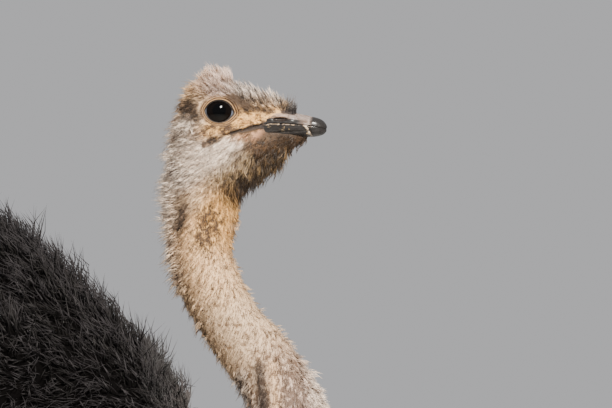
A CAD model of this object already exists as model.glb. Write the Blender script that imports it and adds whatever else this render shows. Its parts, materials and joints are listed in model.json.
import json
import math

import bpy
import numpy as np
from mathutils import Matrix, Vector, noise
from mathutils.bvhtree import BVHTree
from mathutils.kdtree import KDTree

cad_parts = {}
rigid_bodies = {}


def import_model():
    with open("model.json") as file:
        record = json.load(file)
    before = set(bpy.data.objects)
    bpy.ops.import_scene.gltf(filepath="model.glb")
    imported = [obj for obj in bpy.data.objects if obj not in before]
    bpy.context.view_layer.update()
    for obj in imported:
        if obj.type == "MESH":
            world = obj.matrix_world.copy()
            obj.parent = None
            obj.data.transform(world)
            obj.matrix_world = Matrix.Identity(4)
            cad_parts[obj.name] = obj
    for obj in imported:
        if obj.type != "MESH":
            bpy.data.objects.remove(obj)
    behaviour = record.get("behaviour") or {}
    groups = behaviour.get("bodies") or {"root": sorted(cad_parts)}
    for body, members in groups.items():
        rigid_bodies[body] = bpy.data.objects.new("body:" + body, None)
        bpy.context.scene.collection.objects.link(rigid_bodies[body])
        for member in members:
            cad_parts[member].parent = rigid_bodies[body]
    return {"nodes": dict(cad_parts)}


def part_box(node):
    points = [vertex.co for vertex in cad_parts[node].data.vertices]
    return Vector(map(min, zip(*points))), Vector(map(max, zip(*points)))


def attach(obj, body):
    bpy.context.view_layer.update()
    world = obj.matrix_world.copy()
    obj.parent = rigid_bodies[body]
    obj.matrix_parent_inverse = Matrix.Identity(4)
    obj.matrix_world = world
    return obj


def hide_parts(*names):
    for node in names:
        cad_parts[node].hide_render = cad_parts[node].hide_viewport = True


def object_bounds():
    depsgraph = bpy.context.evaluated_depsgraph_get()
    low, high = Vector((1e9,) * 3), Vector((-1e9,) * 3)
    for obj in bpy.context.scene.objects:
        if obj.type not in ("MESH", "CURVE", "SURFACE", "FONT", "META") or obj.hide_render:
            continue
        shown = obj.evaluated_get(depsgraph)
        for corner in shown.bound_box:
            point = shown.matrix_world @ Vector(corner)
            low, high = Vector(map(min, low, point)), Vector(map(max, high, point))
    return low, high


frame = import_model()
cadBounds = np.array(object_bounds())
cadNodes = frame["nodes"]

sides = {"right": -1, "left": 1}
up = Vector((0, 0, 1))


def boxMiddle(name):
    low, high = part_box(name)
    return (low + high) / 2


# the head's own directions, from the line between the eyes
headMiddle = (boxMiddle("eye_right") + boxMiddle("eye_left")) / 2
headLeft = (boxMiddle("eye_left") - boxMiddle("eye_right")).normalized()
headAhead = headLeft.cross(up).normalized()
headAxes = np.array([headAhead, headLeft, up])


def unit(vectors):
    return vectors / np.maximum(np.linalg.norm(vectors, axis=-1, keepdims=True), 1e-9)


def smoothStep(values, start, end):
    share = np.clip((values - start) / (end - start), 0, 1)
    return share * share * (3 - 2 * share)


def hump(values, width):  # 1 at zero, falling away on both sides
    return np.exp(-((values / width) ** 2))


# the neck turns to the head's direction between two heights, in mm from the eyes, and what lies
# further behind doesn't turn
neckTwist = {
    "turn": math.atan2(headAhead.y, headAhead.x),
    "pivot": -30,
    "low": -330,
    "high": -120,
    "behind": -90,
}
pivotPlace = np.array(headMiddle + headAhead * neckTwist["pivot"] / 1000)


def neckTurn(points):
    away = (points - pivotPlace) * 1000
    share = smoothStep(away[:, 2], neckTwist["low"], neckTwist["high"])
    return neckTwist["turn"] * np.where(away[:, 0] < neckTwist["behind"], 0, share)


def headPlaces(points):  # world points as ahead, left and up of the eyes, in mm, with the neck's turn undone
    away = (points - pivotPlace) * 1000
    angle = -neckTurn(points)
    ahead = away[:, 0] * np.cos(angle) - away[:, 1] * np.sin(angle) + neckTwist["pivot"]
    left = away[:, 0] * np.sin(angle) + away[:, 1] * np.cos(angle)
    return np.stack([ahead, left, away[:, 2]], axis=1)


def tint(red, green, blue):  # a colour as a picker shows it, 0 to 255
    shown = np.array([red, green, blue]) / 255
    return np.where(shown <= 0.04045, shown / 12.92, ((shown + 0.055) / 1.055) ** 2.4)


# objects and meshes


def activate(piece):
    bpy.ops.object.select_all(action="DESELECT")
    piece.select_set(True)
    bpy.context.view_layer.objects.active = piece


def applyModifier(piece, kind, **values):
    modifier = piece.modifiers.new(kind.title(), kind)
    for name, value in values.items():
        setattr(modifier, name, value)
    activate(piece)
    bpy.ops.object.modifier_apply(modifier=modifier.name)


def joinPieces(first, *others):
    bpy.ops.object.select_all(action="DESELECT")
    for piece in (first, *others):
        piece.select_set(True)
    bpy.context.view_layer.objects.active = first
    bpy.ops.object.join()


def faceOutwards():  # ends edit mode with every normal turned outwards
    bpy.ops.mesh.select_all(action="SELECT")
    bpy.ops.mesh.normals_make_consistent(inside=False)
    bpy.ops.object.mode_set(mode="OBJECT")


def joinedCopy(title, names):
    copies = []
    for name in names:
        copy = bpy.data.objects.new(title, cadNodes[name].data.copy())
        bpy.context.scene.collection.objects.link(copy)
        copies.append(copy)
    joinPieces(*copies)
    joined = bpy.context.object
    joined.name = title
    joined.data.name = title
    joined.data.materials.clear()
    bpy.ops.object.mode_set(mode="EDIT")
    bpy.ops.mesh.select_all(action="SELECT")
    bpy.ops.mesh.remove_doubles(threshold=0.00001)
    faceOutwards()
    return joined


def numbersOf(things, name, width, kind=float):  # one row for each vertex, edge or face
    numbers = np.empty(len(things) * width, kind)
    things.foreach_get(name, numbers)
    return numbers.reshape(-1, width)


def pointsOf(piece):
    return numbersOf(piece.data.vertices, "co", 3)


def normalsOf(piece):
    return numbersOf(piece.data.vertices, "normal", 3)


def faceMiddles(piece):
    return numbersOf(piece.data.polygons, "center", 3)


def movePoints(piece, points):
    piece.data.vertices.foreach_set("co", points.ravel())
    piece.data.update()


def storeColour(piece, name, colours):
    layer = piece.data.color_attributes.new(name, "FLOAT_COLOR", "POINT")
    full = np.ones((len(colours), 4))
    full[:, :3] = colours
    layer.data.foreach_set("color", full.ravel())


def storeValue(piece, name, values):
    layer = piece.data.attributes.new(name, "FLOAT", "POINT")
    layer.data.foreach_set("value", np.asarray(values, float))


def storeMarkings(piece, pale, dark, share):
    storeColour(piece, "pale", pale)
    storeColour(piece, "dark", dark)
    storeValue(piece, "share", share)


def meshPiece(title, points, triangles):
    mesh = bpy.data.meshes.new(title)
    mesh.vertices.add(len(points))
    mesh.vertices.foreach_set("co", points.ravel())
    mesh.loops.add(len(triangles) * 3)
    mesh.loops.foreach_set("vertex_index", triangles.ravel().astype(np.int32))
    mesh.polygons.add(len(triangles))
    mesh.polygons.foreach_set("loop_start", np.arange(0, len(triangles) * 3, 3, dtype=np.int32))
    mesh.update(calc_edges=True)
    piece = bpy.data.objects.new(title, mesh)
    bpy.context.scene.collection.objects.link(piece)
    return piece


def selectFaces(piece, chosen):  # chosen is one True or False for each face
    activate(piece)
    bpy.ops.object.mode_set(mode="EDIT")
    bpy.ops.mesh.select_mode(type="FACE")
    bpy.ops.mesh.select_all(action="DESELECT")
    bpy.ops.object.mode_set(mode="OBJECT")
    piece.data.polygons.foreach_set("select", np.asarray(chosen, bool))
    bpy.ops.object.mode_set(mode="EDIT")


def surfaceOf(piece):
    return BVHTree.FromPolygons(pointsOf(piece), [tuple(face.vertices) for face in piece.data.polygons])


def treeOf(places):
    tree = KDTree(len(places))
    for number, place in enumerate(places):
        tree.insert(place, number)
    tree.balance()
    return tree


# markings: one table for the skin and the coat, so that both carry the same

tints = {
    "snow": tint(252, 233, 214),
    "ash": tint(222, 204, 190),
    "sand": tint(214, 184, 150),
    "gold": tint(234, 181, 110),
    "rose": tint(194, 144, 110),
    "straw": tint(248, 203, 150),
    "chestnut": tint(60, 43, 27),
    "pitch": tint(9, 8, 8),
    "tawny": tint(76, 51, 27),
    "buff": tint(200, 172, 146),
    "olive": tint(186, 158, 118),
    "bark": tint(120, 92, 66),
    "umber": tint(76, 55, 38),
    "soot": tint(44, 37, 34),
    "slate": tint(96, 98, 104),
    "coal": tint(30, 27, 26),
    "pewter": tint(84, 78, 76),
    "mauve": tint(204, 178, 164),
    "moss": tint(134, 106, 66),
    "shin": tint(132, 108, 94),
    "dusk": tint(108, 88, 76),
    "lid": tint(178, 142, 100),
    "lidShade": tint(132, 98, 66),
    "horn": tint(140, 126, 119),
    "lore": tint(172, 146, 128),
    "steel": tint(50, 56, 66),
    "plumePale": tint(236, 230, 220),
    "claw": tint(92, 78, 68),
    "thigh": tint(172, 140, 126),
    "thighShade": tint(126, 98, 90),
    "scute": tint(156, 126, 106),
    "ink": tint(42, 39, 41),
    "wool": tint(20, 17, 16),
    "loam": tint(58, 42, 27),
}

# Start and end are (ahead, up) of the eyes in mm, the ends of a line that the zone follows. Reach is
# how far the zone spreads and length its hair, both in mm, weight is its pull against the others, share is
# how much of it is dark, stand is 0 for flat and 1 for upright, lie is the way the tips point (ahead,
# up), and crowd is how close the tufts grow.
zoneKeys = ("start", "end", "reach", "weight", "pale", "dark", "share", "length", "stand", "lie", "crowd")
zones = {
    "crest": ((4, 58), (-22, 60), 11, 1, "mauve", "bark", 0.20, 30, 0.84, (-0.4, 0.8), 1.1),
    "crestFront": ((13, 50), (15, 56), 5, 3, "mauve", "bark", 0.36, 32, 0.94, (-0.05, 1), 1.4),
    "crown": ((-30, 52), (-52, 28), 13, 1, "straw", "bark", 0.08, 16, 0.60, (-1, 0.3), 1.1),
    "aboveEye": ((16, 34), (-18, 40), 8, 1, "mauve", "bark", 0.30, 10, 0.34, (-0.9, 0.5), 1.6),
    "hoodRear": ((30, 34), (50, 22), 9, 1.3, "ash", "coal", 0.76, 14, 0.22, (-0.5, 1), 1.6),
    "hoodMiddle": ((62, 29), (66, 17), 8, 1.2, "ash", "soot", 0.84, 12, 0.38, (-0.3, 1), 1.4),
    "whiteTuft": ((66, 26), (80, 18), 5, 2.2, "snow", "slate", 0.34, 11, 0.36, (-0.5, 1), 1.4),
    "hoodFront": ((88, 20), (102, 5), 8, 1.9, "pewter", "soot", 1.05, 14, 0.46, (0.45, 1), 1.4),
    "brow": ((19, 18), (42, 4.5), 3.0, 12, "tawny", "chestnut", 0.80, 6, 0.18, (-1, 0.5), 2.0),
    "browFront": ((42, 4.5), (70, 1), 2.4, 5, "umber", "chestnut", 0.70, 6, 0.20, (-1, 0.5), 2.0),
    "lore": ((34, -5), (74, 1), 9, 1.2, "gold", "umber", 0.36, 6, 0.28, (-1, 0.1), 2.1),
    "underEye": ((-18, -26), (30, -24), 7, 1, "gold", "umber", 0.64, 7, 0.20, (-1, -0.35), 1.8),
    "temple": ((-36, 18), (-26, 2), 9, 1, "sand", "bark", 0.34, 8, 0.30, (-1, 0.1), 1.7),
    "earPatch": ((-41, 7), (-33, -5), 5.4, 6.5, "umber", "soot", 0.66, 7, 0.28, (-1, -0.2), 1.4),
    "gapeFold": ((4, -37), (-16, -46), 2.4, 3.0, "bark", "soot", 0.50, 6, 0.18, (-0.8, -0.5), 1.5),
    "mouthSeam": ((66, -19), (22, -30.5), 1.6, 7, "umber", "soot", 0.80, 3, 0.05, (-1, -0.25), 0.9),
    "gapeSkin": ((30, -37), (54, -31), 4.6, 2.4, "rose", "bark", 0.58, 7, 0.14, (-1, -0.5), 2.0),
    "jawLine": ((70, -37.5), (20, -57), 3.4, 1.6, "bark", "soot", 0.50, 7, 0.16, (-0.9, -0.5), 1.6),
    "cheekFront": ((30, -44), (8, -50), 5, 2.2, "snow", "sand", 0.10, 8, 0.18, (-0.9, -0.5), 1.4),
    "cheekBand": ((10, -56), (-44, -90), 11, 1.3, "snow", "dusk", 0.16, 12, 0.24, (-0.85, -0.6), 1.2),
    "cheekBack": ((-38, -26), (-46, -50), 11, 1.4, "snow", "dusk", 0.22, 12, 0.32, (-1, -0.35), 1.2),
    "napeUpper": ((-60, 8), (-68, -22), 9, 1, "buff", "bark", 0.12, 17, 0.74, (-1, -0.1), 1.2),
    "napeLower": ((-74, -36), (-82, -72), 9, 1, "snow", "dusk", 0.22, 21, 0.82, (-1, 0), 1.2),
    "napePatch": ((-62, -80), (-48, -90), 6, 1.0, "ash", "pewter", 0.40, 13, 0.40, (-1, -0.3), 1.1),
    "chin": ((112, -44), (62, -54), 8, 1, "tawny", "loam", 0.55, 8, 0.18, (-0.75, -0.8), 2.4),
    "chinEdge": ((62, -37), (114, -33), 5, 4, "chestnut", "loam", 0.30, 6, 0.12, (-0.9, -0.5), 2.6),
    "throat": ((92, -62), (50, -92), 10, 1, "moss", "soot", 1.05, 14, 0.28, (-0.25, -1), 1.4),
    "throatRear": ((30, -70), (4, -90), 9, 1.2, "olive", "umber", 0.42, 15, 0.28, (-0.4, -0.9), 1.2),
    "throatLow": ((42, -94), (18, -112), 8, 1.7, "chestnut", "soot", 0.84, 15, 0.28, (-0.3, -1), 1.3),
    "throatEdge": ((66, -98), (30, -122), 6, 2.4, "loam", "soot", 0.70, 15, 0.34, (-0.05, -1), 1.3),
    "jowl": ((-6, -98), (-34, -122), 10, 1, "sand", "bark", 0.22, 9, 0.30, (-0.9, -0.6), 1.1),
    "neckGold": ((6, -124), (14, -168), 17, 1.2, "gold", "umber", 0.28, 6, 0.45, (-0.2, -1), 1.5),
    "neckStreak": ((-42, -130), (-50, -156), 3.4, 1.6, "dusk", "soot", 0.50, 8, 0.40, (-0.6, -0.8), 1.3),
    "neckPatch": ((-8, -146), (-18, -178), 8, 2.2, "gold", "umber", 0.86, 6, 0.45, (-0.2, -1), 1.4),
    "neckNape": ((-82, -100), (-74, -228), 11, 1.4, "snow", "dusk", 0.24, 19, 0.84, (-1, 0), 1.3),
    "neckSide": ((-30, -186), (-4, -236), 22, 1, "straw", "umber", 0.28, 7, 0.42, (-0.4, -1), 1.3),
    "neckFront": ((25, -160), (46, -244), 4.5, 2.2, "snow", "dusk", 0.10, 12, 0.72, (0.6, -0.45), 1.1),
    "neckBend": ((10, -262), (60, -330), 38, 1, "sand", "bark", 0.34, 8, 0.45, (-0.3, -1), 0.9),
    "neckLow": ((92, -360), (104, -430), 26, 1, "mauve", "dusk", 0.78, 11, 0.35, (-0.1, -1), 1.0),
    "neckLowFront": ((126, -350), (142, -440), 9, 2, "snow", "dusk", 0.24, 15, 0.62, (0.5, -0.7), 1.0),
    "neckLowTan": ((70, -350), (78, -430), 5, 1.6, "straw", "bark", 0.26, 10, 0.35, (0, -1), 1.0),
    "neckLowDark": ((52, -350), (62, -430), 4.5, 2.4, "pewter", "soot", 0.70, 10, 0.35, (-0.1, -1), 1.0),
    "neckLowEdge": ((28, -366), (30, -430), 5, 1.6, "ash", "soot", 0.62, 12, 0.45, (-0.6, -1), 1.0),
    "neckRoot": ((66, -500), (20, -560), 42, 1, "ash", "dusk", 0.60, 18, 0.32, (-0.6, -1), 1.1),
    "neckBorder": ((-44, -470), (34, -630), 20, 2.2, "pewter", "soot", 0.66, 32, 0.34, (-0.9, -0.6), 1.3),
    "breast": ((-50, -590), (-80, -560), 30, 1.2, "ink", "wool", 0.60, 40, 0.45, (-0.9, -0.5), 1.1),
    "chest": ((-140, -560), (-160, -620), 42, 2, "ink", "wool", 0.55, 46, 0.50, (-1, -0.2), 0.5),
    "bill": ((76, -20), (140, -22), 6, 2, "pewter", "soot", 0.50, 2, 0.10, (-1, 0), 0.0),
    "back": ((-260, -330), (-900, -310), 75, 4, "ink", "wool", 0.55, 56, 0.50, (-1, 0.1), 0.5),
    "flank": ((-260, -520), (-880, -500), 75, 4, "ink", "wool", 0.55, 66, 0.38, (-0.9, -0.6), 0.45),
    "rump": ((-1000, -330), (-1010, -430), 60, 3, "ink", "wool", 0.55, 96, 0.32, (-0.9, -0.9), 0.5),
    "rumpLow": ((-1000, -490), (-920, -560), 45, 2, "ink", "wool", 0.55, 96, 0.26, (-0.8, -0.8), 0.6),
    "belly": ((-280, -665), (-860, -650), 50, 3, "ink", "wool", 0.55, 46, 0.34, (-1, -0.3), 0.5),
}


skinUnder = 0.66  # how far under the tips the skin lies, as a share of the hair's height


def coatFields(points, widen=1):
    rows = [dict(zip(zoneKeys, row)) for row in zones.values()]

    def column(key):
        return np.array([row[key] for row in rows], float)

    start = column("start")
    line = column("end") - start
    away = headPlaces(points)[:, [0, 2]][:, None] - start
    along = np.clip((away * line).sum(2) / (line * line).sum(1), 0, 1)
    gap = np.linalg.norm(away - along[..., None] * line, axis=2)
    # a broad tail keeps far places to the nearest zone
    pull = np.exp(-0.5 * (gap / (column("reach") * widen)) ** 2) + 1e-9 / (1 + gap)
    pull *= column("weight")
    pull /= pull.sum(1, keepdims=True)
    fields = {key: pull @ column(key) for key in ("share", "length", "stand", "lie", "crowd")}
    for key in ("pale", "dark"):
        fields[key] = pull @ np.array([tints[row[key]] for row in rows])
    rise = fields["stand"] * math.pi / 2
    fields["depth"] = skinUnder * fields["length"] * (np.sin(rise) + np.sin(rise * 0.65)) / 2
    return fields


# finishes: shared groups first, then a material for each kind of surface


def makeGroup(title, inputs, outputs):
    group = bpy.data.node_groups.new(title, "ShaderNodeTree")
    for name, kind, value in inputs:
        socket = group.interface.new_socket(name, in_out="INPUT", socket_type=kind)
        if value is not None:
            socket.default_value = value
    for name, kind in outputs:
        group.interface.new_socket(name, in_out="OUTPUT", socket_type=kind)
    return group, group.nodes.new("NodeGroupInput"), group.nodes.new("NodeGroupOutput")


def addNode(tree, kind, **values):
    node = tree.nodes.new(kind)
    for name, value in values.items():
        setattr(node, name, value)
    return node


def feed(tree, socket, value):  # links another node's output, or sets a number or colour
    if isinstance(value, bpy.types.NodeSocket):
        tree.links.new(value, socket)
    else:
        socket.default_value = value


def mixColours(tree, blend, factor, first, second):  # each of the three is a number, colour or socket
    node = addNode(tree, "ShaderNodeMix", data_type="RGBA", blend_type=blend)
    for socket, value in ((0, factor), (6, first), (7, second)):
        feed(tree, node.inputs[socket], value)
    return node.outputs[2]


def mathNode(tree, operation, first, second):
    node = addNode(tree, "ShaderNodeMath", operation=operation)
    feed(tree, node.inputs[0], first)
    feed(tree, node.inputs[1], second)
    return node.outputs[0]


def spread(tree, value, low, high, toLow=0.0, toHigh=1.0):
    node = addNode(tree, "ShaderNodeMapRange", interpolation_type="SMOOTHSTEP")
    tree.links.new(value, node.inputs[0])
    for socket, bound in ((1, low), (2, high), (3, toLow), (4, toHigh)):
        node.inputs[socket].default_value = bound
    return node.outputs[0]


def placeOf(tree):
    return addNode(tree, "ShaderNodeTexCoord").outputs["Object"]


def noiseOf(tree, scale, detail, stretch=None):  # noise on the piece's own place, scale per metre
    place = placeOf(tree)
    if stretch:
        mapping = addNode(tree, "ShaderNodeMapping")
        mapping.inputs["Scale"].default_value = stretch
        tree.links.new(place, mapping.inputs["Vector"])
        place = mapping.outputs["Vector"]
    grain = addNode(tree, "ShaderNodeTexNoise")
    grain.inputs["Detail"].default_value = detail
    feed(tree, grain.inputs["Scale"], scale)
    tree.links.new(place, grain.inputs["Vector"])
    return grain.outputs["Fac"]


def cellsOf(tree, scale, feature):  # the same for cells
    cells = addNode(tree, "ShaderNodeTexVoronoi", feature=feature)
    tree.links.new(placeOf(tree), cells.inputs["Vector"])
    feed(tree, cells.inputs["Scale"], scale)
    return cells.outputs["Distance"]


def makeMottle():  # pale and dark in patches, with the share of dark given
    inputs = [("Pale", "NodeSocketColor", None), ("Dark", "NodeSocketColor", None)]
    inputs += [("Share", "NodeSocketFloat", 0.3)]
    inputs += [("Patch", "NodeSocketFloat", 300.0), ("Speckle", "NodeSocketFloat", 1500.0)]
    outputs = [("Colour", "NodeSocketColor"), ("Mask", "NodeSocketFloat")]
    group, given, result = makeGroup("mottle", inputs, outputs)
    patches = noiseOf(group, given.outputs["Patch"], 4)
    speckles = noiseOf(group, given.outputs["Speckle"], 2)
    both = mathNode(group, "ADD", patches, mathNode(group, "MULTIPLY", speckles, 0.55))
    level = mathNode(group, "ADD", mathNode(group, "MULTIPLY", given.outputs["Share"], 0.62), both)
    mask = spread(group, level, 0.98, 1.20)
    colour = mixColours(group, "MIX", mask, given.outputs["Pale"], given.outputs["Dark"])
    group.links.new(colour, result.inputs["Colour"])
    group.links.new(mask, result.inputs["Mask"])
    return group


def makePores():  # fine pits and creases of bare skin
    inputs = [("Grain", "NodeSocketFloat", 900.0), ("Crease", "NodeSocketFloat", 160.0)]
    group, given, result = makeGroup("pores", inputs, [("Height", "NodeSocketFloat")])
    pits = cellsOf(group, given.outputs["Grain"], "F1")
    creases = noiseOf(group, given.outputs["Crease"], 5, (1.0, 1.0, 2.6))
    height = mathNode(group, "ADD", pits, mathNode(group, "MULTIPLY", creases, 1.6))
    group.links.new(height, result.inputs["Height"])
    return group


def makePlates():  # small rounded scales with dark seams
    inputs = [("Size", "NodeSocketFloat", 160.0)]
    outputs = [("Height", "NodeSocketFloat"), ("Seam", "NodeSocketFloat")]
    group, given, result = makeGroup("plates", inputs, outputs)
    fromSeam = cellsOf(group, given.outputs["Size"], "DISTANCE_TO_EDGE")
    group.links.new(spread(group, fromSeam, 0.0, 0.28), result.inputs["Height"])
    group.links.new(spread(group, fromSeam, 0.09, 0.01), result.inputs["Seam"])
    return group


mottle, pores, plates = makeMottle(), makePores(), makePlates()


def newPaint(title, **constants):
    paint = bpy.data.materials.new(title)
    paint.use_nodes = True
    tree = paint.node_tree
    shader = tree.nodes["Principled BSDF"]
    for name, value in constants.items():
        shader.inputs[name.replace("_", " ")].default_value = value
    return paint, tree, shader


def placeGroup(tree, group, **values):
    node = addNode(tree, "ShaderNodeGroup", node_tree=group)
    for name, value in values.items():
        feed(tree, node.inputs[name], value)
    return node


def colourOf(tree, name):
    return addNode(tree, "ShaderNodeVertexColor", layer_name=name).outputs["Color"]


def valueOf(tree, name):
    reader = addNode(tree, "ShaderNodeAttribute", attribute_type="GEOMETRY", attribute_name=name)
    return reader.outputs["Fac"]


def blotchesOf(tree, patch, speckle):  # the piece's own pale and dark, mottled by its share of dark
    blotches = placeGroup(
        tree,
        mottle,
        Pale=colourOf(tree, "pale"),
        Dark=colourOf(tree, "dark"),
        Share=valueOf(tree, "share"),
        Patch=patch,
        Speckle=speckle,
    )
    return blotches.outputs["Colour"]


def addBump(tree, shader, height, distance):
    bump = addNode(tree, "ShaderNodeBump")
    bump.inputs["Distance"].default_value = distance
    tree.links.new(height, bump.inputs["Height"])
    tree.links.new(bump.outputs["Normal"], shader.inputs["Normal"])


def makeSkinPaint():
    paint, tree, shader = newPaint("skin", Specular_IOR_Level=0.35)
    scaly = valueOf(tree, "scaly")
    pits = placeGroup(tree, pores, Grain=1100.0, Crease=240.0)
    scales = placeGroup(tree, plates, Size=150.0)
    seam = mathNode(tree, "MULTIPLY", scales.outputs["Seam"], scaly)
    darkSeam = mixColours(tree, "MULTIPLY", seam, blotchesOf(tree, 140.0, 900.0), (0.42, 0.36, 0.33, 1))
    tree.links.new(darkSeam, shader.inputs["Base Color"])
    tree.links.new(spread(tree, noiseOf(tree, 300, 3), 0.3, 0.7, 0.5, 0.72), shader.inputs["Roughness"])
    plateHeight = mathNode(tree, "MULTIPLY", scales.outputs["Height"], mathNode(tree, "MULTIPLY", scaly, 2.2))
    pitHeight = mathNode(tree, "MULTIPLY", pits.outputs["Height"], 0.5)
    addBump(tree, shader, mathNode(tree, "ADD", plateHeight, pitHeight), 0.0009)
    return paint


def makeHornPaint(title, roughness, striation):
    paint, tree, shader = newPaint(title, Specular_IOR_Level=0.25, Coat_Roughness=0.20)
    lines = noiseOf(tree, striation, 4, (0.22, 1.0, 1.0))
    faint = spread(tree, lines, 0.42, 0.66, 0.0, 0.5)
    streaks = mixColours(tree, "MULTIPLY", faint, blotchesOf(tree, 170.0, 650.0), (0.55, 0.52, 0.5, 1))
    tree.links.new(streaks, shader.inputs["Base Color"])
    tree.links.new(spread(tree, lines, 0.3, 0.7, roughness, roughness + 0.22), shader.inputs["Roughness"])
    tree.links.new(spread(tree, lines, 0.35, 0.65, 0.42, 0.08), shader.inputs["Coat Weight"])
    addBump(tree, shader, lines, 0.0010)
    return paint


def makeCoatPaint(title, roughness, rootShade, tipShade, grain, sheen):
    paint, tree, shader = newPaint(title, Roughness=roughness, Sheen_Weight=sheen, Specular_IOR_Level=0.3)
    along = spread(tree, valueOf(tree, "along"), 0.0, 1.0, rootShade, tipShade)
    varied = mathNode(tree, "MULTIPLY", along, spread(tree, noiseOf(tree, grain, 2), 0.25, 0.75, 0.85, 1.15))
    grey = addNode(tree, "ShaderNodeCombineColor")
    for channel in range(3):
        tree.links.new(varied, grey.inputs[channel])
    colour = mixColours(tree, "MULTIPLY", 1.0, colourOf(tree, "tint"), grey.outputs["Color"])
    tree.links.new(colour, shader.inputs["Base Color"])
    return paint


def makeEyePaint():
    film = {"Coat_Weight": 0.60, "Coat_Roughness": 0.015, "Coat_IOR": 1.30}
    paint, tree, shader = newPaint("eyeWet", Roughness=0.12, Specular_IOR_Level=0.0, **film)
    fibres = spread(tree, noiseOf(tree, 1400, 4), 0.35, 0.7, 0.0, 0.5)
    colour = mixColours(tree, "MULTIPLY", fibres, colourOf(tree, "pale"), (0.3, 0.26, 0.24, 1))
    tree.links.new(colour, shader.inputs["Base Color"])
    return paint


def makeUnderPaint():
    paint, tree, shader = newPaint("underFeathers", Specular_IOR_Level=0.02, Roughness=0.9)
    tree.links.new(blotchesOf(tree, 60.0, 400.0), shader.inputs["Base Color"])
    return paint


skinPaint = makeSkinPaint()
underPaint = makeUnderPaint()
billPaint = makeHornPaint("billHorn", 0.5, 420)
clawPaint = makeHornPaint("clawHorn", 0.38, 300)
scutePaint = makeHornPaint("scute", 0.45, 260)
eyePaint = makeEyePaint()
downPaint = makeCoatPaint("down", 0.78, 0.60, 1.3, 900, 0.12)
lashPaint = makeCoatPaint("lash", 0.5, 1.0, 1.0, 900, 0.0)
plumagePaint = makeCoatPaint("plumage", 0.72, 0.62, 1.15, 500, 0.0)
plumePaint = makeCoatPaint("plume", 0.7, 0.9, 1.03, 400, 0.15)

# the voxels, the gap, the legs and the sole in metres, depths and places on the head in mm, and each
# pair from where a change begins to where it ends
skinSizes = {
    "bodyVoxel": 0.0080,
    "headVoxel": 0.0019,
    "cutGap": 0.004,
    "legDepth": 0.0012,
    "legStart": 0.22,
    "legApart": 0.04,
    "hiddenFaces": 0.45,
    "sole": 0.012,
    "headWiden": 1.25,
    "headCalm": 14,
    "inwardBlend": 22,
    "billDepth": 3.4,
    "billStart": {"upper": 70, "lower": 55},
    "eyeDepth": 1.0,
    "eyeEdge": (42, 28),
    "bareDepth": -0.5,
    "bareEdge": (24, 50),
}
bodyFlesh = ["neck_base", "neck_lower", "neck_upper", "neck_top", "trunk", "wing_right", "wing_left"]
for side in sides:
    bodyFlesh += [f"drumstick_{side}", f"shank_{side}", f"toe_big_{side}", f"toe_small_{side}"]
headFlesh = ["head", "neck_top", "ear_right", "ear_left"]
headInserts = ["eye_right", "eye_left", "bill_upper", "bill_lower"]

# lines in profile, (ahead, up) of the eyes in mm
middleLine = [(132, -22), (100, -20), (70, -22), (40, -26), (12, -34), (-10, -52), (-24, -78)]
middleLine += [(-30, -108), (-32, -150), (-29, -181), (-18, -230), (28, -310), (85, -393), (95, -456)]
middleLine += [(55, -565), (-15, -605)]
mouthLine = [(98, -17.3), (72, -16.3), (52, -20.4), (25, -28.8), (8, -33.8), (-15, -43)]
billMouth = mouthLine + [(127, -19.6), (142, -22.8)]
billRidge = [(46, 5), (72, 2.5), (98, -1.5), (120, -6), (147, -18)]
billEdge = [(46, -36), (72, -31.5), (98, -29), (120, -29), (147, -28)]
billUnder = [(46, -46), (72, -39.5), (98, -35.5), (120, -35), (147, -28)]

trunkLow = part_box("trunk")[0]
neckTopLow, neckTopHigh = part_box("neck_top")


def cutAcross(piece, height, keep):  # trims the neck at a level, keeping "above" or "below"
    middles = faceMiddles(piece)
    nearNeck = (middles[:, 2] > height - 0.03) & (middles[:, 0] > neckTopLow.x - 0.05)
    selectFaces(piece, nearNeck if keep == "below" else np.ones(len(middles), bool))
    bpy.ops.mesh.bisect(
        plane_co=(0, 0, height),
        plane_no=(0, 0, 1),
        clear_outer=keep == "below",
        clear_inner=keep == "above",
    )
    bpy.ops.object.mode_set(mode="OBJECT")


def selectOpenEdges(piece):
    activate(piece)
    bpy.ops.object.mode_set(mode="EDIT")
    bpy.ops.mesh.select_mode(type="EDGE")
    bpy.ops.mesh.select_all(action="DESELECT")
    bpy.ops.mesh.select_non_manifold()


def thinTrunk(skin):  # fewer faces where feathers hide the skin
    points = pointsOf(skin)
    hidden = (points[:, 2] > trunkLow.z + 0.06) & (points[:, 0] < neckTopLow.x - 0.20)
    group = skin.vertex_groups.new(name="hidden")
    group.add([int(i) for i in np.nonzero(hidden)[0]], 1, "REPLACE")
    applyModifier(skin, "DECIMATE", ratio=skinSizes["hiddenFaces"], vertex_group="hidden")
    skin.vertex_groups.clear()


def makeSkin():
    skin = joinedCopy("skin", bodyFlesh + ["head"])
    applyModifier(skin, "REMESH", mode="VOXEL", voxel_size=skinSizes["bodyVoxel"])
    applyModifier(skin, "SMOOTH", factor=0.5, iterations=6)
    head = joinedCopy("headSkin", headFlesh + headInserts)
    applyModifier(head, "REMESH", mode="VOXEL", voxel_size=skinSizes["headVoxel"])
    applyModifier(head, "SMOOTH", factor=0.5, iterations=12)
    level = (neckTopLow.z + neckTopHigh.z) / 2 - 0.03
    cutAcross(skin, level - skinSizes["cutGap"], "below")
    cutAcross(head, level + skinSizes["cutGap"], "above")
    sinkHead(head)
    for side in sides:
        setLids(head, side)
    foldMouth(head)
    sinkBody(skin)
    thinTrunk(skin)
    joinPieces(skin, head)
    selectOpenEdges(skin)
    bpy.ops.mesh.bridge_edge_loops()
    faceOutwards()
    setOnFloor(skin)
    return skin


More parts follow.
